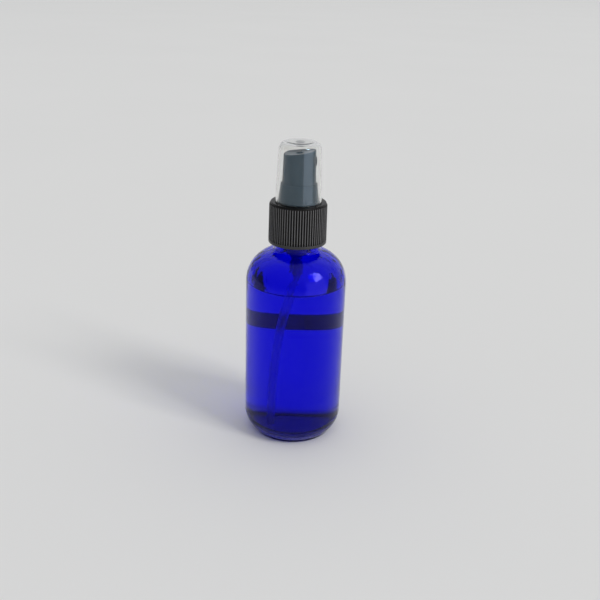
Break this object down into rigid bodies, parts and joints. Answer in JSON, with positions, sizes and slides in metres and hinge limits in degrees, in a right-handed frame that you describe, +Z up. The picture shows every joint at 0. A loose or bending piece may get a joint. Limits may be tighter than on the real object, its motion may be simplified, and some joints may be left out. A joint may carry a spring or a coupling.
{
  "type": "perfume atomiser",
  "caption": "Blue glass Boston round bottle with a black ribbed screw closure, fine-mist spray pump with finger actuator, dip tube and clear overcap.",
  "frame": {"origin": "on the bottle's axis, on the surface that the base rests on", "axes": "+Z up along the bottle's axis, +X the way the spray leaves"},
  "size_m": [0.0486, 0.0487, 0.147],
  "materials": {
    "blue_glass": "polished cobalt blue",
    "label": "matte black, blank",
    "closure_plastic": "satin black",
    "turret_plastic": "smooth black",
    "actuator_plastic": "smooth black",
    "natural_plastic": "natural translucent",
    "piston_plastic": "waxy",
    "tube_plastic": "natural translucent",
    "gasket": "soft foam",
    "ball_steel": "polished",
    "spring_steel": "drawn wire",
    "clear_plastic": "clear, slightly milky"
  },
  "bodies": {
    "bottle": {"bottle": "blue_glass", "rear_label": "label"},
    "pump": {"pump_housing": "natural_plastic", "turret": "turret_plastic", "neck_gasket": "gasket", "stem_gasket": "gasket", "dip_tube": "tube_plastic", "main_spring": "spring_steel"},
    "closure": {"closure": "closure_plastic"},
    "plunger": {"stem": "natural_plastic", "piston": "piston_plastic"},
    "actuator": {"actuator": "actuator_plastic", "spray_insert": "actuator_plastic"},
    "ball": {"inlet_ball": "ball_steel"},
    "overcap": {"overcap": "clear_plastic"}
  },
  "joints": [
    {"name": "pump_lift", "type": "slide", "parent": "bottle", "child": "pump", "axis": [0, 0, 1], "range_m": [0, 0.00476]},
    {"name": "closure_turn", "type": "hinge", "parent": "pump", "child": "closure", "pos_m": [0, 0, 0.109], "axis": [0, 0, 1], "range_deg": [0, 540]},
    {"name": "actuator_press", "type": "slide", "parent": "pump", "child": "plunger", "axis": [0, 0, -1], "range_m": [0, 0.0048], "stiffness_N_per_m": 1500, "springref_m": -0.004, "deforming": ["main_spring"]},
    {"name": "actuator_swivel", "type": "hinge", "parent": "plunger", "child": "actuator", "pos_m": [0, 0, 0.126], "axis": [0, 0, 1], "continuous": true},
    {"name": "ball_lift", "type": "slide", "parent": "pump", "child": "ball", "axis": [0, 0, 1], "range_m": [0, 0.001]},
    {"name": "overcap_pull", "type": "slide", "parent": "pump", "child": "overcap", "axis": [0, 0, 1], "range_m": [0, 0.036]}
  ],
  "couplings": [
    {"joint": "closure_turn", "follows": "pump_lift", "rad_per_m": 1979}
  ]
}
